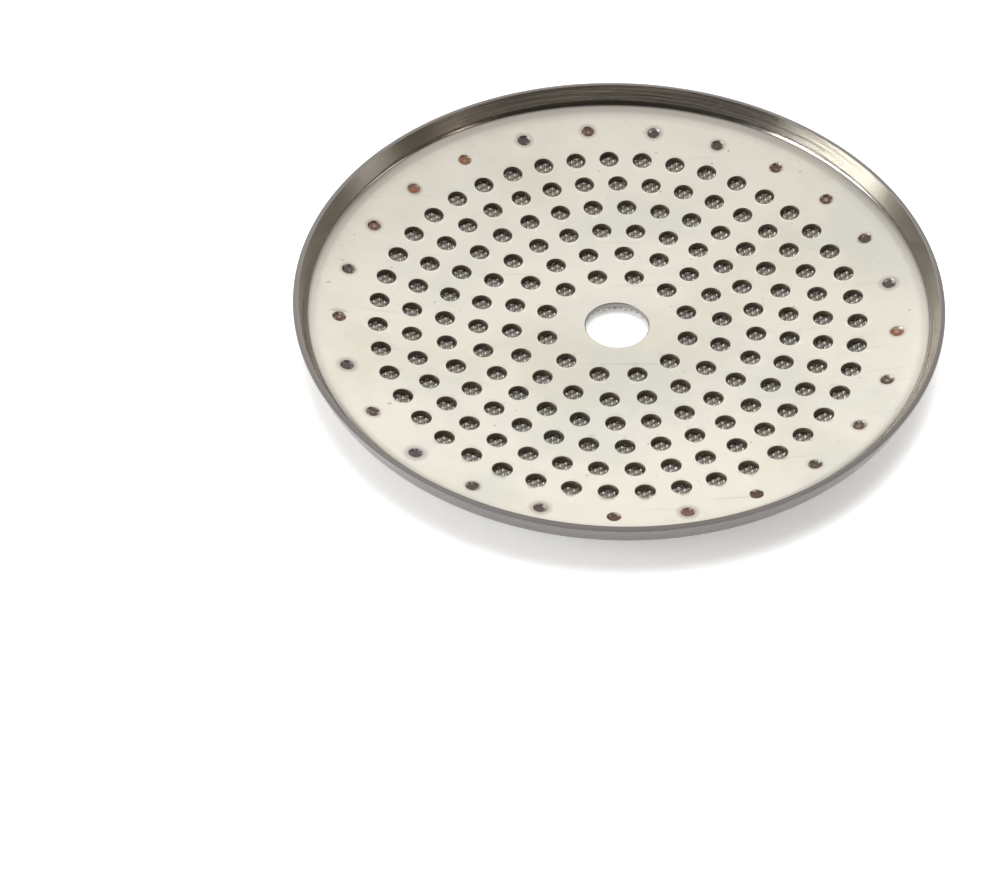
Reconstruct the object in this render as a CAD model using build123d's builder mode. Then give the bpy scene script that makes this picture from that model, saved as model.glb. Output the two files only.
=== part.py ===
"""Espresso shower screen: a dished, perforated cup with a woven wire disc spot-welded to its outer face.

The screen lies with its wire disc down. The origin is on the axis, at the lowest point of the disc.
All lengths are in millimetres and all angles in degrees.
"""

from build123d import *
from math import atan, degrees, floor, pi, radians, sqrt, tan
import os

# Cup: one pressed sheet, flat in the middle, a shallow paraboloid around that, with a flared wall
rim_diameter = 57.0
cup_height = 4.84
sheet_thickness = 0.5
flat_radius = 11.5
dish_curvature = 145.0
corner_radius = 0.6
corner_steps = 3
wall_flare = 21.0

# Screw hole in the middle of both pieces
screw_hole_diameter = 5.6

# Perforations: rings one pitch apart, each with as many holes as its number times pi times two
hole_diameter = 1.86
hole_flats = 8
hole_pitch = 2.94
first_ring_radius = 6.38
first_ring_number = 2
ring_starts = (14.55, 4.52, 8.59, 3.89, 0.75, 6.86)

# Spot welds: a ring of electrode pits in the cup, with a flattened pad over each on the wire disc
weld_count = 25
weld_ring_radius = 24.45
weld_ring_start = 8.56
weld_pit_diameter = 1.3
weld_pit_depth = 0.14
weld_pad_diameter = 1.7
weld_flats = 8

# Wire disc: ridges of wire with a plain grid of gaps in the grooves between them
disc_diameter = 52.0
disc_thickness = 0.68
weave_turn = 2.0
weave_rows = 12
weave_pitch = 4.0
groove_width = 1.3
groove_depth = 0.15
gap_length = 1.3
gap_margin = 0.3

# Levels on the axis
cup_floor = disc_thickness + sheet_thickness
rim_level = disc_thickness + cup_height

rim_radius = rim_diameter / 2
disc_radius = disc_diameter / 2
screw_hole_radius = screw_hole_diameter / 2


def dish_level(depth, reach):
    """Level, at a distance from the axis, of the dish a depth below the cup's inner surface."""
    return cup_floor - depth + (reach**2 - flat_radius**2) / (2 * dish_curvature)


def above_dish(depth):
    """Block above the surface a depth below the cup's inner one: flat in the middle, dished around it."""
    rise = rim_radius**2 / (2 * dish_curvature)
    spans = ((-rim_radius, rise), (0, -rise), (rim_radius, rise))
    bottom = dish_level(depth, 0)
    patch = Face.make_bezier_surface([[(x, y, bottom + up + over) for y, over in spans] for x, up in spans])
    with BuildPart() as block:
        extrude(patch, amount=2 * rim_level, dir=(0, 0, 1))
        split(bisect_by=Plane.XY.offset(cup_floor - depth), keep=Keep.TOP)
    return block.part


def wall_line(depth):
    """Lip and foot of the wall's face, in half section, with the foot where the face meets the dish."""
    lean = tan(radians(wall_flare))
    edge = rim_radius - (sheet_thickness - depth) * sqrt(1 + lean**2)
    depth_left = 2 * dish_curvature * (rim_level - dish_level(depth, edge))
    swing = dish_curvature - edge * lean
    drop = depth_left / (swing + sqrt(swing**2 + lean**2 * depth_left))
    return Vector(edge, rim_level), Vector(edge - drop * lean, rim_level - drop)


def cup_space(depth):
    """Space that the cup would fill down to the surface a depth below its inner one."""
    lip, foot = wall_line(depth)
    radius = corner_radius + depth
    turn = 90 - wall_flare - degrees(atan(foot.X / dish_curvature))
    up_wall = (lip - foot).normalized()
    start = foot + up_wall * radius * tan(radians(turn / 2))
    centre = start + up_wall.rotate(Axis.Z, 90) * radius
    with BuildPart() as space:
        with BuildSketch(Plane.XZ):
            with BuildLine():
                corner = CenterArc(centre, radius, -wall_flare, -turn, mode=Mode.PRIVATE)
                steps = [corner @ (step / corner_steps) for step in range(corner_steps + 1)]
                last_step = steps[-1] - steps[-2]
                run_out = last_step * ((cup_floor - depth - steps[-1].Y) / last_step.Y)
                end = steps[-1] + run_out
                Polyline((0, rim_level), lip, *steps[:-1], end, (0, end.Y), close=True)
            make_face()
        revolve(axis=Axis.Z)
    return space.part & above_dish(depth)


def weld_planes(depth):
    """Planes that lie on the dish a depth below the cup's inner surface, one at each spot weld."""
    level = dish_level(depth, weld_ring_radius)
    tilt = degrees(atan(weld_ring_radius / dish_curvature))
    places = PolarLocations(weld_ring_radius, weld_count, start_angle=weld_ring_start)
    return [Plane(place * Pos(0, 0, level) * Rot(0, -tilt, 0)) for place in places]


# Perforated cup
outer_space = cup_space(sheet_thickness)
inner_space = cup_space(0)

with BuildPart() as perforated_cup:
    add(outer_space)
    add(inner_space, mode=Mode.SUBTRACT)
    with BuildSketch(Plane.XY) as holes:
        Circle(screw_hole_radius)
        for ring, start in enumerate(ring_starts):
            count = floor(2 * pi * (first_ring_number + ring))
            with PolarLocations(first_ring_radius + ring * hole_pitch, count, start_angle=start):
                RegularPolygon(hole_diameter / 2, hole_flats)
    extrude(amount=rim_level, mode=Mode.SUBTRACT)
    with BuildSketch(*weld_planes(0)) as pits:
        RegularPolygon(weld_pit_diameter / 2, weld_flats)
    extrude(amount=-weld_pit_depth, mode=Mode.SUBTRACT)

# Wire disc
disc_depth = sheet_thickness + disc_thickness
disc_top = above_dish(sheet_thickness)
disc_bottom = above_dish(disc_depth)
groove_floor = above_dish(disc_depth - groove_depth)
weave_plane = Plane.XY.rotated((0, 0, weave_turn))
gap_clearance = gap_margin + sqrt(groove_width**2 + gap_length**2) / 2
gap_start = screw_hole_radius + gap_clearance
gap_end = weld_ring_radius - weld_pad_diameter / 2 - gap_clearance

with BuildPart() as grooves:
    with BuildSketch(weave_plane) as strips:
        with GridLocations(weave_pitch, 0, weave_rows, 1):
            Rectangle(groove_width, disc_diameter)
        with PolarLocations(weld_ring_radius, weld_count, start_angle=weld_ring_start - weave_turn):
            RegularPolygon(weld_pad_diameter / 2, weld_flats, mode=Mode.SUBTRACT)
    extrude(amount=rim_level)
    add(groove_floor, mode=Mode.SUBTRACT)

with BuildPart() as mesh_disc:
    with BuildSketch(Plane.XY) as blank:
        Circle(disc_radius)
        Circle(screw_hole_radius, mode=Mode.SUBTRACT)
    extrude(amount=rim_level)
    add(disc_bottom, mode=Mode.INTERSECT)
    add(disc_top, mode=Mode.SUBTRACT)
    add(grooves.part, mode=Mode.SUBTRACT)
    with BuildSketch(weave_plane) as gaps:
        with GridLocations(weave_pitch, weave_pitch, weave_rows, weave_rows) as grid:
            places = [place for place in grid if gap_start < place.position.length < gap_end]
        with Locations(*places):
            Rectangle(groove_width, gap_length)
    extrude(amount=rim_level, mode=Mode.SUBTRACT)

perforated_cup.part.label = "perforated_cup"
mesh_disc.part.label = "mesh_disc"

os.makedirs("parts", exist_ok=True)
export_step(perforated_cup.part, "parts/perforated_cup.step")
export_step(mesh_disc.part, "parts/mesh_disc.step")
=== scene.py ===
# %% [markdown]
# # Espresso shower screen
# The screen is a pressed steel cup with six rings of punched holes, and a disc of woven wire
# that is spot-welded to its outer face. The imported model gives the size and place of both. Here
# they get the forms and finishes that are too fine for it: round holes with rolled edges, real
# woven wires, weld marks and handled, slightly tarnished steel.

from math import atan, atan2, cos, floor, pi, radians, sin, tan

import bpy
import numpy as np
from mathutils import Euler, Matrix, Vector


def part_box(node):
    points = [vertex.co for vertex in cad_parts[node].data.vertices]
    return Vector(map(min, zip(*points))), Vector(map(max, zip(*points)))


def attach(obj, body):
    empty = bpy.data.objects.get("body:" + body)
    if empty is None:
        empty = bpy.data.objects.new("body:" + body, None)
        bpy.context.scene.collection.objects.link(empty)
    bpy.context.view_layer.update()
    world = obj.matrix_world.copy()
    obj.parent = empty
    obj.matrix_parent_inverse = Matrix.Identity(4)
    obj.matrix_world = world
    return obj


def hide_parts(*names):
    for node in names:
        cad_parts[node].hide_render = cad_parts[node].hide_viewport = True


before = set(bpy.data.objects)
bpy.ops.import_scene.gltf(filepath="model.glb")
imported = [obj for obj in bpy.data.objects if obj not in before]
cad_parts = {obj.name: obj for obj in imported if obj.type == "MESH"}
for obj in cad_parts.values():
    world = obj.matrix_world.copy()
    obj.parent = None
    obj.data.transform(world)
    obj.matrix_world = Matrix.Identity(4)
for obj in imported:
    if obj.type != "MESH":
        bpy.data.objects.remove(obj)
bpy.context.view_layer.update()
MM = 0.001
cup_low, cup_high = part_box("perforated_cup")
disc_low, disc_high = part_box("mesh_disc")
print("cup", cup_low / MM, cup_high / MM, "disc", disc_low / MM, disc_high / MM)

# %% [markdown]
# ## Sizes
# The rim, its level and the disc's radius come from the frame. The rest are the sizes that the
# real object is made to, in millimetres. The dish starts nearer the axis and curves more than in
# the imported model, and stays within a tenth of a millimetre of it.

# %% Sizes in millimetres
rim_radius = cup_high.x / MM
rim_level = cup_high.z / MM
disc_radius = disc_high.x / MM
sheet = 0.5
cloth_thickness = 0.68
floor_level = cloth_thickness + sheet
flat_radius = 7.4
dish_radius = 90.0
wall_flare = radians(21.0)
screw_hole_radius = 2.8

# The corner: how far it reaches in over the dish and up the wall, and how far in its crease lies
corner_run = 1.3
corner_rise = 0.45
corner_crease = 0.14

# Punched holes: rings one pitch apart, each with its own start angle in degrees
hole_radius = 0.79
hole_pitch = 2.94
first_ring_radius = 6.38
first_ring_number = 2
ring_starts = (14.55, 4.52, 8.59, 3.89, 0.75, 6.86)

# Spot welds: one ring, with its start angle in degrees
weld_count = 25
weld_radius = 24.45
weld_start = 8.56


def dish_level(reach):
    """Level of the cup's inner surface at a distance from the axis."""
    return floor_level + max(0.0, reach - flat_radius) ** 2 / (2 * dish_radius)


def dish_tilt(reach):
    """Slope of the cup's inner surface at a distance from the axis, as an angle."""
    return atan(max(0.0, reach - flat_radius) / dish_radius)


print("dish level at the welds", round(dish_level(weld_radius), 3))

# %% [markdown]
# ## Working helpers
# Operators act on whatever is selected, so each step starts by clearing the selection and
# making one object active. A finished piece has its place in its mesh, so its object stays at
# the origin.

# %% Helpers for selection and finishing

# Points nearer to each other than this, in metres, are one point
same_point = 1e-7


def only(piece):
    """Select one object alone and make it active."""
    bpy.ops.object.select_all(action="DESELECT")
    piece.select_set(True)
    bpy.context.view_layer.objects.active = piece
    return piece


def bake_place(piece):
    """Move an object's place, turn and scale into its mesh."""
    only(piece)
    bpy.ops.object.transform_apply(location=True, rotation=True, scale=True)
    return piece


def apply_all(piece):
    """Apply every modifier of a piece, in order."""
    only(piece)
    for modifier in list(piece.modifiers):
        bpy.ops.object.modifier_apply(modifier=modifier.name)
    return piece


def join(pieces, name):
    """Join several objects into one."""
    bpy.ops.object.select_all(action="DESELECT")
    for piece in pieces:
        piece.select_set(True)
    bpy.context.view_layer.objects.active = pieces[0]
    bpy.ops.object.join()
    joined = bpy.context.view_layer.objects.active
    joined.name = name
    joined.data.name = name
    return joined


def lathe(profile, steps, name):
    """Spin a closed outline of (distance, level) points, in millimetres, round the Z axis."""
    mesh = bpy.data.meshes.new(name)
    points = [(reach * MM, 0, level * MM) for reach, level in profile]
    edges = [(i, (i + 1) % len(points)) for i in range(len(points))]
    mesh.from_pydata(points, edges, [])
    piece = bpy.data.objects.new(name, mesh)
    bpy.context.scene.collection.objects.link(piece)
    only(piece)
    bpy.ops.object.mode_set(mode="EDIT")
    bpy.ops.mesh.select_mode(type="VERT")
    bpy.ops.mesh.select_all(action="SELECT")
    bpy.ops.mesh.spin(steps=steps, angle=2 * pi, center=(0, 0, 0), axis=(0, 0, 1))
    bpy.ops.mesh.select_all(action="SELECT")
    bpy.ops.mesh.remove_doubles(threshold=same_point)
    bpy.ops.mesh.normals_make_consistent(inside=False)
    bpy.ops.object.mode_set(mode="OBJECT")
    return piece


def triangles(piece):
    """Number of triangles in a piece."""
    return sum(len(face.vertices) - 2 for face in piece.data.polygons)


# %% [markdown]
# ## Node groups
# Handled steel is never one colour. A thin oxide film tints it in soft clouds, wiping leaves
# hair scratches, and the heat of welding leaves brown and blue rings. Each effect could be drawn
# anew in every material. Here each is one node group that gives out values, so that all the
# steels share it and use it in their own amounts.

# %% Helpers for node groups

# A Mix node has sockets for every kind of data, and these are the ones that it uses for colour
mix_factor, mix_first, mix_second, mix_result = 0, 6, 7, 2


def new_group(name, inputs, outputs):
    """Start a shader node group with named sockets and return its tree and its two end nodes."""
    tree = bpy.data.node_groups.new(name, "ShaderNodeTree")
    for label, kind, value in inputs:
        socket = tree.interface.new_socket(label, in_out="INPUT", socket_type=kind)
        if value is not None:
            socket.default_value = value
    for label, kind in outputs:
        tree.interface.new_socket(label, in_out="OUTPUT", socket_type=kind)
    return tree, tree.nodes.new("NodeGroupInput"), tree.nodes.new("NodeGroupOutput")


def maths(tree, operation, first, second=None, clamp=False):
    """Add a Math node and return its output."""
    node = tree.nodes.new("ShaderNodeMath")
    node.operation = operation
    node.use_clamp = clamp
    for socket, value in zip(node.inputs, (first, second)):
        if value is None:
            continue
        if isinstance(value, (int, float)):
            socket.default_value = value
        else:
            tree.links.new(value, socket)
    return node.outputs[0]


def noise(tree, vector, scale, detail=3.0, roughness=0.55):
    """Add a Noise texture and return its value."""
    node = tree.nodes.new("ShaderNodeTexNoise")
    node.inputs["Scale"].default_value = scale
    node.inputs["Detail"].default_value = detail
    node.inputs["Roughness"].default_value = roughness
    tree.links.new(vector, node.inputs["Vector"])
    return node.outputs["Fac"]


def remap(tree, value, low, high, to_low=0.0, to_high=1.0):
    """Map a range of a value to another range, clamped and smooth."""
    node = tree.nodes.new("ShaderNodeMapRange")
    node.interpolation_type = "SMOOTHSTEP"
    node.inputs["From Min"].default_value = low
    node.inputs["From Max"].default_value = high
    node.inputs["To Min"].default_value = to_low
    node.inputs["To Max"].default_value = to_high
    tree.links.new(value, node.inputs["Value"])
    return node.outputs[0]


def mix(tree, factor, first, second):
    """Mix two colours, each a socket or a plain colour, by a factor from a socket."""
    node = tree.nodes.new("ShaderNodeMix")
    node.data_type = "RGBA"
    node.clamp_factor = True
    tree.links.new(factor, node.inputs[mix_factor])
    for index, value in ((mix_first, first), (mix_second, second)):
        if isinstance(value, tuple):
            node.inputs[index].default_value = (*value, 1)
        else:
            tree.links.new(value, node.inputs[index])
    return node.outputs[mix_result]


def plus(tree, value, mask, amount):
    """Add a share of a mask to a value."""
    return maths(tree, "ADD", value, maths(tree, "MULTIPLY", mask, amount))


def tint(tree, colour, mask, amount, other):
    """Blend a colour towards another by a share of a mask."""
    return mix(tree, maths(tree, "MULTIPLY", mask, amount), colour, other)


def diagonal(tree, first, second):
    """Length of the diagonal between two sides that are square to each other."""
    squares = [maths(tree, "MULTIPLY", side, side) for side in (first, second)]
    return maths(tree, "SQRT", maths(tree, "ADD", *squares))


# %% [markdown]
# ### Clouds of tint
# The film on a used screen changes colour over a centimetre or so, with a fine grain inside it.
# Two noises at nearly the same scale, one shifted, keep the warm and the cool patches apart.

# %% Group for clouds of tint
cool_shift = (0.31, 0.17, 0.05)


def make_clouds():
    """Soft clouds: a mask for warm stains and a mask for cool film."""
    inputs = [("Vector", "NodeSocketVector", None), ("Seed", "NodeSocketFloat", 0.0)]
    outputs = [("Warm", "NodeSocketFloat"), ("Cool", "NodeSocketFloat"), ("Fine", "NodeSocketFloat")]
    tree, start, end = new_group("steel clouds", inputs, outputs)
    shift = tree.nodes.new("ShaderNodeVectorMath")
    shift.operation = "ADD"
    tree.links.new(start.outputs["Vector"], shift.inputs[0])
    tree.links.new(start.outputs["Seed"], shift.inputs[1])
    place = shift.outputs[0]
    warm = remap(tree, noise(tree, place, scale=75, detail=4, roughness=0.6), low=0.47, high=0.68)
    moved = tree.nodes.new("ShaderNodeMapping")
    moved.inputs["Location"].default_value = cool_shift
    tree.links.new(place, moved.inputs["Vector"])
    cool = noise(tree, moved.outputs[0], scale=85, detail=4, roughness=0.6)
    cool = remap(tree, cool, low=0.44, high=0.66)
    fine = noise(tree, place, scale=700, detail=5, roughness=0.65)
    tree.links.new(warm, end.inputs["Warm"])
    tree.links.new(cool, end.inputs["Cool"])
    tree.links.new(fine, end.inputs["Fine"])
    return tree


clouds = make_clouds()
print("group", clouds.name)

# %% [markdown]
# ### Hair scratches
# Wiping leaves long thin scratches in a few directions. A noise that is stretched along one
# direction gives thin streaks, and a second, wide noise breaks them into patches.

# %% Group for hair scratches

# Each set of scratches has a direction, a scale for its streaks and one for its patches
scratch_sets = ((0.5, 1440, 75), (1.7, 2080, 111), (2.75, 1760, 142.5))
streak_stretch = (0.035, 1, 0.2)


def make_scratches():
    """Hair scratches in three directions: a mask that is 1 along each scratch."""
    inputs = [("Vector", "NodeSocketVector", None), ("Amount", "NodeSocketFloat", 0.5)]
    tree, start, end = new_group("hair scratches", inputs, [("Mask", "NodeSocketFloat")])
    total = None
    for turn, streak_scale, patch_scale in scratch_sets:
        place = tree.nodes.new("ShaderNodeMapping")
        place.inputs["Rotation"].default_value = (0, 0, turn)
        place.inputs["Scale"].default_value = streak_stretch
        tree.links.new(start.outputs["Vector"], place.inputs["Vector"])
        streak = noise(tree, place.outputs[0], streak_scale, detail=2, roughness=0.5)
        patch = noise(tree, start.outputs["Vector"], patch_scale, detail=2, roughness=0.5)
        streak = remap(tree, streak, low=0.66, high=0.74)
        patch = remap(tree, patch, low=0.45, high=0.7)
        line = maths(tree, "MULTIPLY", streak, patch)
        total = line if total is None else maths(tree, "MAXIMUM", total, line)
    mask = maths(tree, "MULTIPLY", total, start.outputs["Amount"], clamp=True)
    tree.links.new(mask, end.inputs["Mask"])
    return tree


scratches = make_scratches()
print("group", scratches.name)

# %% [markdown]
# ### Heat round the welds
# Each spot weld has its own tint. The ring of welds is regular, so the nearest weld is found from
# the angle round the axis, and the number of that weld gives a random value of its own.

# %% Group for the heat tint round the welds


def make_weld_heat():
    """Distance to the nearest spot weld, in millimetres, with a random value for that weld."""
    inputs = [("Vector", "NodeSocketVector", None)]
    outputs = [("Distance", "NodeSocketFloat"), ("Random", "NodeSocketFloat")]
    tree, start, end = new_group("weld heat", inputs, outputs)
    parts = tree.nodes.new("ShaderNodeSeparateXYZ")
    tree.links.new(start.outputs["Vector"], parts.inputs[0])
    x, y = parts.outputs[0], parts.outputs[1]
    reach = maths(tree, "MULTIPLY", diagonal(tree, x, y), 1 / MM)
    angle = maths(tree, "ARCTAN2", y, x)
    share = maths(tree, "MULTIPLY", angle, weld_count / (2 * pi))
    cell = maths(tree, "ADD", share, 0.5 - weld_start * weld_count / 360 + weld_count)
    offset = maths(tree, "SUBTRACT", maths(tree, "FRACT", cell), 0.5)
    along = maths(tree, "MULTIPLY", offset, 2 * pi * weld_radius / weld_count)
    across = maths(tree, "SUBTRACT", reach, weld_radius)
    tree.links.new(diagonal(tree, along, across), end.inputs["Distance"])
    chance = tree.nodes.new("ShaderNodeTexWhiteNoise")
    chance.noise_dimensions = "1D"
    tree.links.new(maths(tree, "FLOOR", cell), chance.inputs["W"])
    tree.links.new(chance.outputs["Value"], end.inputs["Random"])
    return tree


weld_heat = make_weld_heat()
print("group", weld_heat.name)

# %% [markdown]
# ### The drawn wall
# The die draws fine lines round the wall as it presses it up, and the edge is trimmed and left
# dull. The masks follow the wall's own slope: one measure runs up the wall from its lip, and the
# other goes through the sheet. The lines are a noise that is squeezed along the first one.

# %% Group for the drawn wall
lip_radius = rim_radius - sheet / cos(wall_flare)

# Distances from the axis, in metres, over which the wall, its outside and the bore begin or end
wall_begins = (0.0263, 0.0268)
outside_begins = (0.0268, 0.0274)
bore_ends = (0.00282, 0.0029)

# Distances from the lip, in millimetres, through the sheet and up the wall
outer_skin = (0.25, 0.4)
trimmed_edge = (-0.14, -0.04)
lines_around, lines_up = 1.6, 1.3


def make_wall_marks():
    """Masks for the wall and its trimmed edge, and the lines that the die drew round the wall."""
    inputs = [("Vector", "NodeSocketVector", None)]
    outputs = [(label, "NodeSocketFloat") for label in ("Wall", "Outside", "Edge", "Lines")]
    tree, start, end = new_group("wall marks", inputs, outputs)
    parts = tree.nodes.new("ShaderNodeSeparateXYZ")
    tree.links.new(start.outputs["Vector"], parts.inputs[0])
    x, y, z = parts.outputs
    reach = diagonal(tree, x, y)
    past_lip = maths(tree, "SUBTRACT", reach, lip_radius * MM)
    over_rim = maths(tree, "SUBTRACT", z, rim_level * MM)
    out = maths(tree, "MULTIPLY", past_lip, sin(wall_flare) / MM)
    up = maths(tree, "MULTIPLY", over_rim, cos(wall_flare) / MM)
    along = maths(tree, "ADD", out, up)
    depth = maths(tree, "MULTIPLY", out, 1 / tan(wall_flare))
    depth = maths(tree, "SUBTRACT", depth, maths(tree, "MULTIPLY", up, tan(wall_flare)))
    skin = remap(tree, depth, *outer_skin)
    outside = maths(tree, "MULTIPLY", skin, remap(tree, reach, *outside_begins))
    bore = maths(tree, "SUBTRACT", 1, remap(tree, reach, *bore_ends))
    around = tree.nodes.new("ShaderNodeCombineXYZ")
    for socket, side in zip(around.inputs, (x, y)):
        turned = maths(tree, "DIVIDE", side, reach)
        tree.links.new(maths(tree, "MULTIPLY", turned, lines_around), socket)
    tree.links.new(maths(tree, "MULTIPLY", along, lines_up), around.inputs[2])
    lines = noise(tree, around.outputs[0], scale=1.0, detail=4, roughness=0.6)
    edge = maths(tree, "MAXIMUM", remap(tree, along, *trimmed_edge), bore)
    tree.links.new(remap(tree, reach, *wall_begins), end.inputs["Wall"])
    tree.links.new(outside, end.inputs["Outside"])
    tree.links.new(edge, end.inputs["Edge"])
    tree.links.new(lines, end.inputs["Lines"])
    return tree


wall_marks = make_wall_marks()
print("group", wall_marks.name)

# %% [markdown]
# ## Steels
# All of the screen is stainless steel, but its pressing, punching, welding and weaving leave
# different surfaces, so each has its own material. A material takes its colour from the groups
# above, step by step, from the clean metal to what lies on it.

# %% Helpers for materials


def new_material(name):
    """An empty node material with its Principled shader and the object's own coordinates."""
    material = bpy.data.materials.new(name)
    material.use_nodes = True
    tree = material.node_tree
    shader = tree.nodes["Principled BSDF"]
    place = tree.nodes.new("ShaderNodeTexCoord").outputs["Object"]
    return material, tree, shader, place


def use_group(tree, group, place, **values):
    """Place a node group, fed with coordinates, and return its outputs."""
    node = tree.nodes.new("ShaderNodeGroup")
    node.node_tree = group
    tree.links.new(place, node.inputs["Vector"])
    for label, value in values.items():
        node.inputs[label].default_value = value
    return node.outputs


def bump(tree, shader, height, strength, distance):
    """Feed a height to the shader's normal through a Bump node."""
    node = tree.nodes.new("ShaderNodeBump")
    node.inputs["Strength"].default_value = strength
    node.inputs["Distance"].default_value = distance
    tree.links.new(height, node.inputs["Height"])
    tree.links.new(node.outputs["Normal"], shader.inputs["Normal"])


# %% [markdown]
# ### Pressed sheet
# The face of the cup is satin and pale, with a thin film, a few hair scratches and specks of
# coffee. The drawn wall is smoother, reflects the room as streaks, and is painted a little darker
# as painted shade. Its outside is painted much darker, as painted shade for the shadowed floor
# under the rim that it reflects, and the trimmed edges are dull and painted darker as painted shade.

# %% Pressed steel
clean_sheet, warm_film, cool_film = (0.80, 0.77, 0.695), (0.745, 0.71, 0.62), (0.665, 0.68, 0.63)
brown_heat, blue_heat = (0.30, 0.20, 0.14), (0.27, 0.25, 0.27)
scratch_grey, speck_brown = (0.30, 0.28, 0.25), (0.30, 0.26, 0.21)
wall_shade_grey, outside_shade_grey, edge_shade_grey = (0.56, 0.53, 0.49), (0.13, 0.125, 0.125), (0.27, 0.255, 0.25)
drawn_depth = 4.5


def pressed_steel():
    """Satin pressed sheet with soft clouds, hair scratches, weld tint, a smoother drawn wall and
    painted shade.
    """
    material, tree, shader, place = new_material("pressed steel")
    shader.inputs["Metallic"].default_value = 1.0
    cloud = use_group(tree, clouds, place, Seed=0.4)
    scratch = use_group(tree, scratches, place, Amount=0.7)
    heat = use_group(tree, weld_heat, place)
    mark = use_group(tree, wall_marks, place)
    colour = mix(tree, cloud["Warm"], clean_sheet, warm_film)
    colour = tint(tree, colour, cloud["Cool"], 0.6, cool_film)
    ring_width = plus(tree, 0.95, heat["Random"], 0.5)
    uneven = plus(tree, heat["Distance"], cloud["Fine"], 0.5)
    ring = maths(tree, "SUBTRACT", 1, maths(tree, "DIVIDE", uneven, ring_width), clamp=True)
    colour = tint(tree, colour, ring, 1.6, mix(tree, heat["Random"], brown_heat, blue_heat))
    colour = tint(tree, colour, scratch["Mask"], 0.2, scratch_grey)
    specks = noise(tree, place, scale=1500, detail=1, roughness=0.5)
    colour = mix(tree, remap(tree, specks, 0.75, 0.81, 0.0, 0.5), colour, speck_brown)
    # The drawn wall's colour is painted darker: painted shade for the dark room that it reflects
    colour = tint(tree, colour, mark["Wall"], 0.85, wall_shade_grey)
    # The outside of the wall is painted much darker: painted shade for the shadowed floor that it
    # reflects
    colour = tint(tree, colour, mark["Outside"], 0.85, outside_shade_grey)
    # The trimmed edges are rougher and are also painted darker: painted shade, so they show no bright
    # reflection
    colour = tint(tree, colour, mark["Edge"], 0.85, edge_shade_grey)
    tree.links.new(colour, shader.inputs["Base Color"])
    rough = plus(tree, 0.27, cloud["Fine"], 0.14)
    rough = plus(tree, rough, scratch["Mask"], 0.1)
    rough = plus(tree, rough, mark["Wall"], -0.15)
    rough = plus(tree, rough, mark["Edge"], 0.2)
    tree.links.new(rough, shader.inputs["Roughness"])
    height = plus(tree, cloud["Fine"], scratch["Mask"], -0.7)
    drawn = maths(tree, "MULTIPLY", mark["Lines"], mark["Wall"])
    bump(tree, shader, plus(tree, height, drawn, drawn_depth), strength=0.12, distance=0.00004)
    return material


steel = pressed_steel()
print("material", steel.name)

# %% [markdown]
# ### Punched and welded places
# Inside a hole the punch has torn the steel, and coffee stays there; the hole's wall is also painted
# near black as painted shade. In an electrode pit the steel is burnt in an uneven spot, in some of
# them round a pale core, and the spot fades into the sheet.

# %% Punched wall
coffee_and_shade_dark, coffee_and_shade_light = (0.06, 0.045, 0.03), (0.24, 0.2, 0.15)


def punched_wall():
    """Inside of a punched hole: rough, stained by coffee and painted dark as painted shade."""
    material, tree, shader, place = new_material("punched wall")
    shader.inputs["Metallic"].default_value = 0.7
    cloud = use_group(tree, clouds, place, Seed=3.1)
    # Near-black brown: coffee stain and painted shade inside the hole
    tree.links.new(mix(tree, cloud["Fine"], coffee_and_shade_dark, coffee_and_shade_light), shader.inputs["Base Color"])
    shader.inputs["Roughness"].default_value = 0.5
    bump(tree, shader, cloud["Fine"], strength=0.3, distance=0.00005)
    return material


hole_steel = punched_wall()
print("material", hole_steel.name)

# %% Weld steel
burnt_brown, burnt_grey, rust = (0.135, 0.085, 0.062), (0.115, 0.11, 0.115), (0.33, 0.15, 0.085)
dull_core, pale_core, pit_edge = (0.13, 0.09, 0.07), (0.42, 0.34, 0.27), (0.60, 0.56, 0.50)


def weld_steel():
    """Burnt steel in the electrode pits: an uneven dark spot that fades into the sheet."""
    material, tree, shader, place = new_material("weld steel")
    shader.inputs["Metallic"].default_value = 0.9
    cloud = use_group(tree, clouds, place, Seed=5.3)
    heat = use_group(tree, weld_heat, place)
    blot = noise(tree, place, scale=2300, detail=2, roughness=0.6)
    uneven = maths(tree, "ADD", heat["Distance"], blot)
    second_chance = maths(tree, "FRACT", maths(tree, "MULTIPLY", heat["Random"], 7.0))
    past_core = remap(tree, uneven, 0.55, 0.7)
    coreless = remap(tree, heat["Random"], 0.55, 0.65)
    spot = remap(tree, uneven, 0.92, 1.14, 1.0, 0.0)
    burnt = mix(tree, heat["Random"], burnt_brown, burnt_grey)
    burnt = mix(tree, remap(tree, second_chance, 0.76, 0.84, 0.0, 0.85), burnt, rust)
    core = mix(tree, second_chance, dull_core, pale_core)
    colour = mix(tree, maths(tree, "MAXIMUM", past_core, coreless), core, burnt)
    tree.links.new(mix(tree, spot, pit_edge, colour), shader.inputs["Base Color"])
    shader.inputs["Roughness"].default_value = 0.42
    height = maths(tree, "ADD", cloud["Fine"], blot)
    bump(tree, shader, height, strength=0.4, distance=0.00005)
    return material


pit_steel = weld_steel()
print("material", pit_steel.name)

# %% [markdown]
# ### Wire
# The warp is bright on its crowns. The weft, sunk between them, and the warp's slopes are painted
# dark brown, as painted shade in the hollows of the weave. Each wire's mesh notes in an attribute,
# wave_side, which side of the cloth a crown is on. Its size is 1 on the crowns and 0 half way down a
# slope, and so it is the mask. Near a weld the wire has turned tan, and the melted lumps go from tan
# to brown.

# %% Woven and melted steel
bright_wire, warm_wire, cool_wire = (0.9, 0.87, 0.8), (0.85, 0.81, 0.72), (0.66, 0.67, 0.65)
weave_shade_brown, weld_tan = (0.15, 0.115, 0.08), (0.42, 0.31, 0.19)
weft_crown_shade = (0.25, 1.0, 0.0, 0.85)
warp_flank_shade = (0.0, 0.55, 0.7, 0.0)
lump_tan, lump_brown, lump_burnt = (0.40, 0.30, 0.19), (0.24, 0.18, 0.12), (0.12, 0.08, 0.05)


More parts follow.
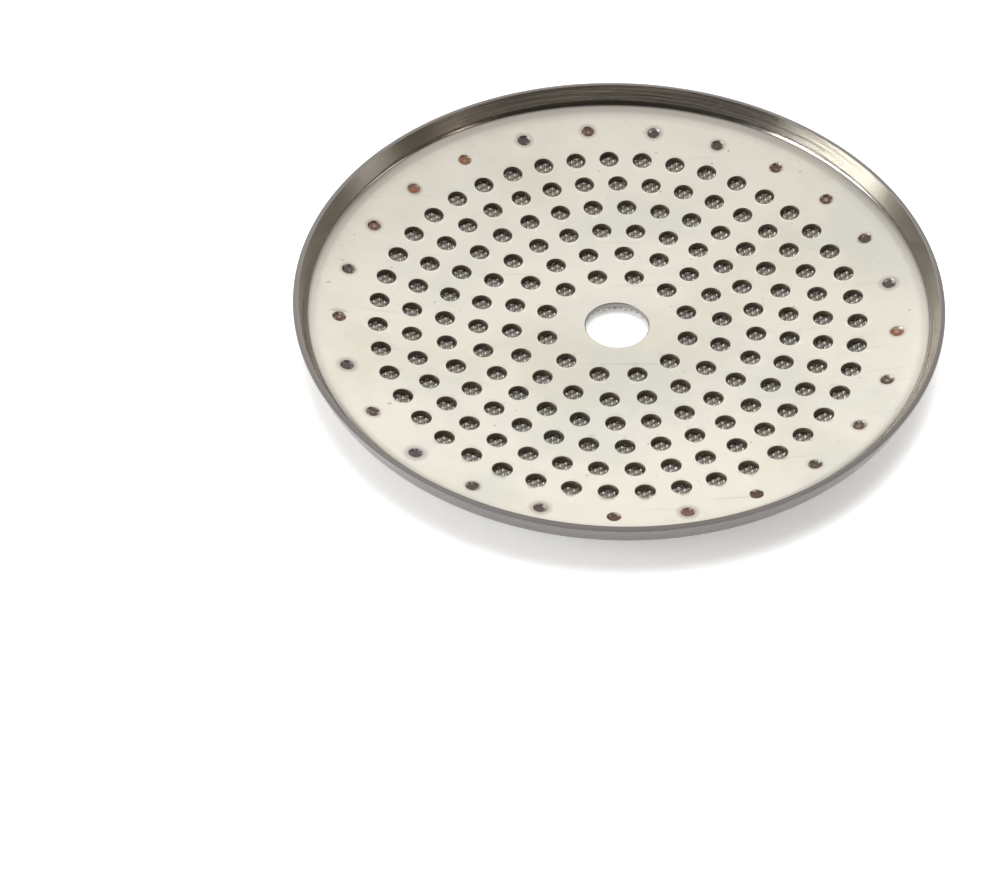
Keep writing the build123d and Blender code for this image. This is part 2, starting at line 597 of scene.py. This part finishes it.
def woven_steel(name, shade_range):
    """Drawn wire, with painted shade over a range of the way from a slope to a crown."""
    material, tree, shader, place = new_material(name)
    shader.inputs["Metallic"].default_value = 0.6
    cloud = use_group(tree, clouds, place, Seed=8.2)
    heat = use_group(tree, weld_heat, place)
    side = tree.nodes.new("ShaderNodeAttribute")
    side.attribute_name = "wave_side"
    crown = maths(tree, "ABSOLUTE", side.outputs["Fac"])
    colour = mix(tree, cloud["Warm"], bright_wire, warm_wire)
    colour = tint(tree, colour, cloud["Cool"], 0.5, cool_wire)
    # Painted shade: dark brown where the wire lies deep in the weave
    colour = mix(tree, remap(tree, crown, *shade_range), colour, weave_shade_brown)
    uneven = plus(tree, heat["Distance"], cloud["Fine"], 0.5)
    colour = mix(tree, remap(tree, uneven, 0.85, 1.25, 0.85, 0.0), colour, weld_tan)
    tree.links.new(colour, shader.inputs["Base Color"])
    tree.links.new(plus(tree, 0.26, cloud["Fine"], 0.2), shader.inputs["Roughness"])
    return material


def melted_steel():
    """Melted wire in the lumps on the wire side: tan to brown and dull."""
    material, tree, shader, place = new_material("melted steel")
    shader.inputs["Metallic"].default_value = 0.8
    cloud = use_group(tree, clouds, place, Seed=6.6)
    heat = use_group(tree, weld_heat, place)
    colour = mix(tree, heat["Random"], lump_tan, lump_brown)
    colour = tint(tree, colour, cloud["Fine"], 0.6, lump_burnt)
    tree.links.new(colour, shader.inputs["Base Color"])
    shader.inputs["Roughness"].default_value = 0.5
    bump(tree, shader, cloud["Fine"], strength=0.4, distance=0.00008)
    return material


warp_steel = woven_steel("warp steel", warp_flank_shade)
weft_steel = woven_steel("weft steel", weft_crown_shade)
lump_steel = melted_steel()
print("materials", [material.name for material in bpy.data.materials])

# %% [markdown]
# ## The cup
# The real cup is pressed from one sheet, so both of its faces follow one profile a sheet's
# thickness apart. The profile is drawn once, from the screw hole out over the flat middle, the
# dish, the corner and the wall to the trimmed rim and back along the outer face. Spun round the
# axis, it closes into the cup with no seams or poles.

# %% Profile of the cup
settling_rounds = 40


def wall_point(depth, level):
    """Point of the wall's face, a depth under the inner one, at a level."""
    lip = rim_radius - (sheet - depth) / cos(wall_flare)
    return lip - (rim_level - level) * tan(wall_flare), level


def corner_arc(depth, steps):
    """Points of the corner, which starts gently on the dish and turns sharply into the wall."""
    # The foot, where the faces of dish and wall would meet, is found by settling between the two
    reach = rim_radius
    for _ in range(settling_rounds):
        level = dish_level(reach) - depth / cos(dish_tilt(reach))
        reach = wall_point(depth, level)[0]
    tilt = dish_tilt(reach)
    spread = depth * tan((pi / 2 - wall_flare - tilt) / 2)
    foot = Vector((reach, level))
    bend = foot + Vector((-sin(tilt), cos(tilt))) * corner_crease
    first = foot - Vector((cos(tilt), sin(tilt))) * (corner_run + spread)
    last = foot + Vector((sin(wall_flare), cos(wall_flare))) * (corner_rise + spread)
    points = []
    for step in range(steps + 1):
        share = step / steps
        point = first * (1 - share) ** 2 + bend * 2 * share * (1 - share) + last * share**2
        points.append(tuple(point))
    return points


def face_points(depth, dish_steps, corner_steps, wall_steps):
    """Profile of one face, from the screw hole to just under the rim."""
    arc = corner_arc(depth, corner_steps)
    points = []
    for step in range(dish_steps):
        reach = screw_hole_radius + (arc[0][0] - screw_hole_radius) * step / dish_steps
        tilt = dish_tilt(reach)
        points.append((reach + depth * sin(tilt), dish_level(reach) - depth * cos(tilt)))
    top = wall_point(depth, rim_level)
    foot = arc[-1]
    wall = []
    for step in range(1, wall_steps + 1):
        share = step / wall_steps
        wall.append((foot[0] + (top[0] - foot[0]) * share, foot[1] + (top[1] - foot[1]) * share))
    return points + arc + wall


def soften(points, index, size):
    """Replace a sharp point of an outline by two points, a size away along its sides."""
    before, here, after = (Vector(points[i % len(points)]) for i in (index - 1, index, index + 1))
    first = here + (before - here).normalized() * size
    second = here + (after - here).normalized() * size
    return [tuple(first), tuple(second)]


# %% Spin the cup
face_steps = (34, 12, 5)
bore_softness, burr_softness, rim_softness = 0.06, 0.04, 0.09
cup_steps = 288

inner = face_points(0.0, *face_steps)
outer = face_points(sheet, *face_steps)

# The rim is trimmed square to the wall, so the outer face ends a little lower than the inner one
rim_drop = sheet * sin(wall_flare)
outer[-1] = wall_point(sheet, rim_level - rim_drop)
outline = inner + outer[::-1]
sharp = {
    0: bore_softness,
    len(inner) - 1: rim_softness,
    len(inner): rim_softness,
    len(outline) - 1: burr_softness,
}
profile = []
for index, point in enumerate(outline):
    profile += soften(outline, index, sharp[index]) if index in sharp else [point]
cup = lathe(profile, cup_steps, "cup")
print("cup profile points", len(profile), "triangles", triangles(cup))

# %% [markdown]
# ## Holes and weld pits
# Punched holes have a rolled upper edge and a small burr below, so the cutter that makes them is
# a round bar that widens at both faces of the sheet. The electrode pits are shallow cups with a
# raised core. Each cutter is made once, copied to its places square to the sheet, and all of
# them are cut in one step. The cut faces take the cutter's own material.

# %% Helpers for cutters


def place_on_dish(reach, angle):
    """Transform that stands a cutter square on the inner face at a place on the dish."""
    spin = Matrix.Rotation(angle, 4, "Z")
    out = Matrix.Translation((reach * MM, 0, dish_level(reach) * MM))
    tip = Matrix.Rotation(-dish_tilt(reach), 4, "Y")
    return spin @ out @ tip


def copies(master, places, name):
    """Copy a master to each place, join the copies and delete the master."""
    made = []
    for place in places:
        piece = master.copy()
        piece.data = master.data.copy()
        piece.data.transform(place)
        bpy.context.scene.collection.objects.link(piece)
        made.append(piece)
    bpy.data.objects.remove(master)
    return join(made, name)


# %% Hole cutter
hole_sides = 36
roll, burr, over = 0.1, 0.03, 0.25
bar = [
    (0.0, over),
    (hole_radius + roll + over * 2, over),
    (hole_radius + roll, 0.0),
    (hole_radius + roll * 0.55, -roll * 0.3),
    (hole_radius + roll * 0.2, -roll * 0.75),
    (hole_radius, -roll * 1.5),
    (hole_radius, -sheet + burr),
    (hole_radius + burr + over, -sheet - over),
    (0.0, -sheet - over),
]
hole_places = []
for ring, start in enumerate(ring_starts):
    count = floor(2 * pi * (first_ring_number + ring))
    reach = first_ring_radius + ring * hole_pitch
    hole_places += [place_on_dish(reach, radians(start) + 2 * pi * k / count) for k in range(count)]
bar_master = lathe(bar, hole_sides, "bar")
bar_master.data.materials.append(hole_steel)
hole_cutter = copies(bar_master, hole_places, "hole cutter")
print("holes", len(hole_places))

# %% Pit cutter
pit_sides = 28
pit = [
    (0.0, over),
    (0.6 + over, over),
    (0.6, -0.002),
    (0.54, -0.05),
    (0.46, -0.115),
    (0.38, -0.13),
    (0.30, -0.12),
    (0.22, -0.09),
    (0.12, -0.08),
    (0.0, -0.078),
]
weld_angles = [radians(weld_start) + 2 * pi * k / weld_count for k in range(weld_count)]
pit_places = [place_on_dish(weld_radius, angle) for angle in weld_angles]
pit_master = lathe(pit, pit_sides, "pit")
pit_master.data.materials.append(pit_steel)
pit_cutter = copies(pit_master, pit_places, "pit cutter")
print("pits", len(pit_places))

# %% Cut the holes and pits
cup_smoothing = radians(38)
cup.data.materials.append(steel)
for cutter in (hole_cutter, pit_cutter):
    cut = cup.modifiers.new("cut", "BOOLEAN")
    cut.operation = "DIFFERENCE"
    cut.solver = "EXACT"
    cut.material_mode = "TRANSFER"
    cut.object = cutter
    apply_all(cup)
    bpy.data.objects.remove(cutter)
only(cup)
bpy.ops.object.shade_smooth_by_angle(angle=cup_smoothing)
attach(cup, "root")
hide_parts("perforated_cup")
print("cup triangles", triangles(cup), "materials", [m.name for m in cup.data.materials])

# %% [markdown]
# ## The woven wires
# The cloth is a plain weave: each wire goes over one wire and under the next. A bump could draw
# it, but its open places would stay closed. So the wires are real, and kept light: one wave is
# extruded from a ring of five sides, repeated along the wire and then across the cloth, with
# every second wire half a wave further on.

# %% A layer of wires
warp_pitch, weft_pitch = 0.487, 0.325
warp_wire, weft_wire = 0.14, 0.13
warp_wave, weft_wave = 0.2, 0.08
wire_sides = 5
crown_share = 0.2
wave_join = 1e-6


def wave_wire(radius, wave, length, name):
    """One wave of a wire along +Y: a ring extruded over a flat crown, down, along and up again."""
    flat = crown_share * length
    slope = length / 2 - flat
    bpy.ops.object.select_all(action="DESELECT")
    bpy.ops.mesh.primitive_circle_add(
        vertices=wire_sides,
        radius=radius * MM,
        rotation=(pi / 2, 0, 0),
        location=(0, -flat / 2 * MM, wave * MM),
    )
    piece = bpy.context.object
    piece.name = name
    bake_place(piece)
    bpy.ops.object.mode_set(mode="EDIT")
    bpy.ops.mesh.select_mode(type="VERT")
    bpy.ops.mesh.select_all(action="SELECT")
    for along, rise in ((flat, 0), (slope, -2 * wave), (flat, 0), (slope, 2 * wave)):
        bpy.ops.mesh.extrude_region_move(TRANSFORM_OT_translate={"value": (0, along * MM, rise * MM)})
    bpy.ops.object.mode_set(mode="OBJECT")
    return piece


def repeat(piece, count, offset):
    """Repeat a piece in a row, merging where the copies meet."""
    row = piece.modifiers.new("row", "ARRAY")
    row.count = count
    row.use_relative_offset = False
    row.use_constant_offset = True
    row.constant_offset_displace = offset
    row.use_merge_vertices = True
    row.merge_threshold = wave_join
    return apply_all(piece)


def cloth_layer(radius, wave, pitch, cross_pitch, phase, name):
    """All wires of one direction, running along Y and centred on the axis."""
    length = 2 * cross_pitch
    wire = wave_wire(radius, wave, length, name)
    waves = 2 * (floor(disc_radius / length) + 2)
    pairs = 2 * (floor(disc_radius / pitch / 2) + 1)
    repeat(wire, waves, (0, length * MM, 0))
    second = wire.copy()
    second.data = wire.data.copy()
    bpy.context.scene.collection.objects.link(second)
    second.data.transform(Matrix.Translation((pitch * MM, length / 2 * MM, 0)))
    pair = join([wire, second], name)
    repeat(pair, pairs + 1, (2 * pitch * MM, 0, 0))
    middle = (-pairs * pitch * MM, (phase - waves / 2) * length * MM, 0)
    pair.data.transform(Matrix.Translation(middle))
    return pair


# %% [markdown]
# ### Trimming the cloth
# The disc is stamped from the cloth, so its wires end at a slightly ragged edge, inside the disc's
# radius, and a little outside the screw hole. A boolean cut of thousands of wires is slow. Instead
# each short length of wire whose middle is outside is deleted, and the open ends are filled.

# %% Trim a layer
edge_inset, bore_inset = 0.12, 0.4
ragged_waves = ((0.06, 41, 0.0), (0.05, 67, 1.0))


def in_disc(x, y):
    """True inside the trimmed disc, whose edge is a little ragged, and outside its middle hole."""
    reach = np.hypot(x, y)
    angle = np.arctan2(y, x)
    ragged = sum(size * np.sin(number * angle + shift) for size, number, shift in ragged_waves)
    edge = disc_radius + (ragged - edge_inset)
    return (reach < edge) & (reach > screw_hole_radius + bore_inset)


def trim(piece, pitch, turn, side):
    """Keep one side of a layer inside the disc, cutting each wire square and closing its ends."""
    count = len(piece.data.polygons)
    middles = np.empty(count * 3)
    piece.data.polygons.foreach_get("center", middles)
    middles = middles.reshape(-1, 3) / MM
    row = np.round(middles[:, 0] / pitch)
    across, along = row * pitch, middles[:, 1]
    x = across * cos(turn) - along * sin(turn)
    y = across * sin(turn) + along * cos(turn)
    keep = in_disc(x, y) & ((row >= 0) == (side > 0))
    only(piece)
    bpy.ops.object.mode_set(mode="EDIT")
    bpy.ops.mesh.select_mode(type="FACE")
    bpy.ops.mesh.select_all(action="DESELECT")
    bpy.ops.object.mode_set(mode="OBJECT")
    piece.data.polygons.foreach_set("select", ~keep)
    bpy.ops.object.mode_set(mode="EDIT")
    bpy.ops.mesh.delete(type="FACE")
    bpy.ops.mesh.select_all(action="SELECT")
    bpy.ops.mesh.fill_holes(sides=wire_sides)
    bpy.ops.mesh.select_all(action="SELECT")
    bpy.ops.mesh.normals_make_consistent(inside=False)
    bpy.ops.object.mode_set(mode="OBJECT")
    return piece


# %% [markdown]
# ### Laying the cloth on the cup
# The real cloth is pressed to the dish by the die and melted thin at each weld. Every point of the
# flat cloth is moved by a formula, up by the height of the dish and towards the sheet near a weld.

# %% Lay a layer on the dish
pad_radius, pad_fade, pad_squeeze = 0.5, 0.4, 0.42


def weld_distance(x, y):
    """Distance from the nearest spot weld, in millimetres."""
    share = (np.degrees(np.arctan2(y, x)) - weld_start) * weld_count / 360
    along = (share - np.round(share)) * 2 * pi * weld_radius / weld_count
    return np.hypot(along, np.hypot(x, y) - weld_radius)


def lay_on_dish(piece):
    """Press the cloth flat at the welds, lay it on the cup and note which side each crown is on."""
    count = len(piece.data.vertices)
    points = np.empty(count * 3)
    piece.data.vertices.foreach_get("co", points)
    x, y, z = points.reshape(-1, 3).T / MM
    half = cloth_thickness / 2
    wave_side = np.where(z > 0, 1.0, -1.0)
    pressed = 1 - np.clip((weld_distance(x, y) - pad_radius) / pad_fade, 0, 1)
    z = half - (half - z) * (1 - pad_squeeze * pressed)
    lift = np.maximum(0, np.hypot(x, y) - flat_radius) ** 2 / (2 * dish_radius)
    z = z + lift + half
    piece.data.vertices.foreach_set("co", (np.stack([x, y, z], 1) * MM).ravel())
    note = piece.data.attributes.new("wave_side", "FLOAT", "POINT")
    note.data.foreach_set("value", wave_side)
    piece.data.update()
    return piece


# %% [markdown]
# ### The four pieces of cloth
# The warp and the weft are layers of their own, with their own wire, wave and finish, and the weft
# is turned by a right angle. Each layer is kept in two halves, so that no piece is too heavy.

# %% Weave, trim and lay the cloth
weave_turn = radians(2.0)
layers = (
    ("warp", warp_wire, warp_wave, warp_pitch, weft_pitch, 0.0, weave_turn, warp_steel),
    ("weft", weft_wire, weft_wave, weft_pitch, warp_pitch, 0.5, weave_turn - pi / 2, weft_steel),
)
wires = []
for name, radius, wave, pitch, cross_pitch, phase, turn, finish in layers:
    layer = cloth_layer(radius, wave, pitch, cross_pitch, phase, name)
    for side, side_name in ((-1, "low"), (1, "high")):
        half = layer.copy()
        half.data = layer.data.copy()
        half.name = half.data.name = f"{name}_{side_name}"
        bpy.context.scene.collection.objects.link(half)
        trim(half, pitch, turn, side)
        half.data.transform(Matrix.Rotation(turn, 4, "Z"))
        half.data.materials.append(finish)
        wires.append(lay_on_dish(half))
    bpy.data.objects.remove(layer)

for piece in wires:
    only(piece)
    bpy.ops.object.shade_smooth()
    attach(piece, "root")
    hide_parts("mesh_disc")
    print(piece.name, "triangles", triangles(piece))

# %% [markdown]
# ## Weld spots
# Each spot weld has melted the wires into a small flat lump on the wire side. One lump is turned
# as a flat disc with a worn edge, its rim is pushed in and out unevenly, and it is copied to all
# the welds, each turned by another angle.

# %% Weld spots
lump_radius = 0.72
lump_sides = 22
lump_waves = ((0.10, 4, 0.4), (0.06, 7, 0.0))
lump_turn = 2.4
lump_smoothing = radians(40)
lump_top = sheet + 0.02
lump_bottom = sheet + cloth_thickness * 0.55
lump = [
    (0.0, -lump_top),
    (lump_radius * 0.92, -lump_top),
    (lump_radius, -lump_top - 0.12),
    (lump_radius * 0.94, -lump_bottom + 0.1),
    (lump_radius * 0.8, -lump_bottom + 0.02),
    (lump_radius * 0.4, -lump_bottom + 0.03),
    (0.0, -lump_bottom + 0.06),
]
lump_master = lathe(lump, lump_sides, "lump")
for vertex in lump_master.data.vertices:
    angle = atan2(vertex.co.y, vertex.co.x)
    swell = 1
    for size, number, shift in lump_waves:
        swell += size * sin(number * angle + shift)
    vertex.co.x *= swell
    vertex.co.y *= swell
lump_places = [
    place_on_dish(weld_radius, angle) @ Matrix.Rotation(lump_turn * number, 4, "Z")
    for number, angle in enumerate(weld_angles)
]
weld_spots = copies(lump_master, lump_places, "weld_spots")
weld_spots.data.materials.append(lump_steel)
only(weld_spots)
bpy.ops.object.shade_smooth_by_angle(angle=lump_smoothing)
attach(weld_spots, "root")
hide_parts("mesh_disc")
print("weld spots triangles", triangles(weld_spots))

# %% [markdown]
# ## Floor
# A matt white floor keeps the screen's shadow. Its colour alone would render as light grey, so it
# also glows a little for what the camera sees, straight or in the steel. The glow is weaker round
# the screen's foot, a painted shadow there. The glow lights nothing, because other rays don't meet
# it.

# %% Floor
floor_size = 4.0
floor_white = (0.8, 0.8, 0.8, 1)

# Distances from the axis, in metres, between which the glow rises from its level in the painted
# shadow
painted_shadow_ends = (0.0275, 0.0298)
glow_levels = (0.37, 0.62)

bpy.ops.object.select_all(action="DESELECT")
bpy.ops.mesh.primitive_plane_add(size=floor_size, location=(0, 0, 0))
floor_plane = bpy.context.object
floor_plane.name = "floor"
floor_material, floor_tree, floor_shader, floor_place = new_material("matt white")
floor_shader.inputs["Base Color"].default_value = floor_white
floor_shader.inputs["Roughness"].default_value = 0.9
floor_shader.inputs["Specular IOR Level"].default_value = 0.1
floor_shader.inputs["Emission Color"].default_value = (1, 1, 1, 1)
rays = floor_tree.nodes.new("ShaderNodeLightPath")
seen = maths(floor_tree, "ADD", rays.outputs["Is Camera Ray"], rays.outputs["Is Glossy Ray"])
from_axis = floor_tree.nodes.new("ShaderNodeVectorMath")
from_axis.operation = "LENGTH"
floor_tree.links.new(floor_place, from_axis.inputs[0])
# The glow is weaker near the screen: a painted shadow round its foot
glow = remap(floor_tree, from_axis.outputs["Value"], *painted_shadow_ends, *glow_levels)
glow = maths(floor_tree, "MULTIPLY", seen, glow)
floor_tree.links.new(glow, floor_shader.inputs["Emission Strength"])
floor_plane.data.materials.append(floor_material)
print("floor", floor_size, "m square")

# %% [markdown]
# ## Room and lamps
# Polished steel shows the room. A large window stands behind the screen and its light fades
# upwards, a dimmer ceiling joins it, and the rest of the room is dark and brownish. So the base
# is bright, and the wall goes from dark to light round the screen. The lamps are soft, add the
# bright streaks on the left and right of the wall, and give the floor its light.

# %% Room
window_white = (1.29, 1.265, 1.23)
room_brown, room_dark = (0.1, 0.088, 0.075), (0.03, 0.026, 0.021)

world = bpy.data.worlds.new("studio")
bpy.context.scene.world = world
world.use_nodes = True
sky = world.node_tree
axes = sky.nodes.new("ShaderNodeSeparateXYZ")
sky.links.new(sky.nodes.new("ShaderNodeTexCoord").outputs["Generated"], axes.inputs[0])
across, away, up = axes.outputs
above = remap(sky, up, 0.08, 0.36)
behind = remap(sky, away, -0.1, 0.36)
beside = remap(sky, maths(sky, "ABSOLUTE", across), 0.38, 0.8, 1.0, 0.25)
fade = remap(sky, up, 0.5, 0.8, 1.0, 0.67)
fade = maths(sky, "ADD", fade, remap(sky, up, 0.82, 0.95, 0.0, 0.2))
window = maths(sky, "MULTIPLY", maths(sky, "MULTIPLY", above, behind), beside)
window = maths(sky, "MULTIPLY", window, fade)
ceiling = remap(sky, up, 0.5, 0.85, 0.0, 0.52)
ceiling = maths(sky, "MULTIPLY", ceiling, remap(sky, away, -0.5, -0.1))
room = mix(sky, remap(sky, away, -0.6, -0.2), room_dark, room_brown)
room = mix(sky, maths(sky, "MAXIMUM", window, ceiling), room, window_white)
sky.links.new(room, sky.nodes["Background"].inputs["Color"])
sky.nodes["Background"].inputs["Strength"].default_value = 1.0
print("room", world.name)

# %% Lamps


def softbox(name, place, size, power):
    """A rectangular area lamp that looks at the origin, with its place in metres."""
    lamp_data = bpy.data.lights.new(name, "AREA")
    lamp_data.shape = "RECTANGLE"
    lamp_data.size, lamp_data.size_y = size
    lamp_data.energy = power
    lamp = bpy.data.objects.new(name, lamp_data)
    bpy.context.scene.collection.objects.link(lamp)
    lamp.location = place
    lamp.rotation_euler = (Vector((0, 0, 0)) - Vector(place)).to_track_quat("-Z", "Y").to_euler()
    print(name, power, "W")
    return lamp


overhead = softbox("overhead softbox", (0.0, 0.0, 0.8), size=(0.4, 0.4), power=4.0)
overhead.visible_glossy = False
softbox("left softbox", (-0.68, -0.17, 0.28), size=(0.48, 0.3), power=3.3)
softbox("right softbox", (0.7, -0.04, 0.26), size=(0.2, 0.2), power=0.25)
warm = softbox("warm softbox", (0.57, -0.4, 0.24), size=(0.07, 0.2), power=0.12)
warm.data.color = (1.0, 0.82, 0.72)

# %% [markdown]
# ## Camera
# The camera was worked out from the hole rings in the photograph: a long lens looking down at
# 46 degrees. It stands where the middle of the weld ring falls on its own pixel.

# %% Camera
frame_width, frame_height = 1000, 892
focal_pixels = 3027.0
elevation = radians(46.186)
axis_pixel = (617.6, 311.6)
distance = 265.95
sensor = 36.0

camera_data = bpy.data.cameras.new("camera")
camera_data.sensor_width = sensor
camera_data.lens = focal_pixels / frame_width * sensor
camera_data.clip_start = 0.01
camera = bpy.data.objects.new("camera", camera_data)
bpy.context.scene.collection.objects.link(camera)
camera.rotation_euler = Euler((pi / 2 - elevation, 0, 0))
right_of_centre = (axis_pixel[0] - frame_width / 2) / focal_pixels * distance
above_centre = (frame_height / 2 - axis_pixel[1]) / focal_pixels * distance
seen_point = Vector((0, 0, dish_level(weld_radius)))
offset = camera.rotation_euler.to_matrix() @ Vector((right_of_centre, above_centre, -distance))
camera.location = (seen_point - offset) * MM
bpy.context.scene.camera = camera
bpy.context.scene.view_settings.view_transform = "Standard"
print("camera", [round(value / MM, 1) for value in camera.location])
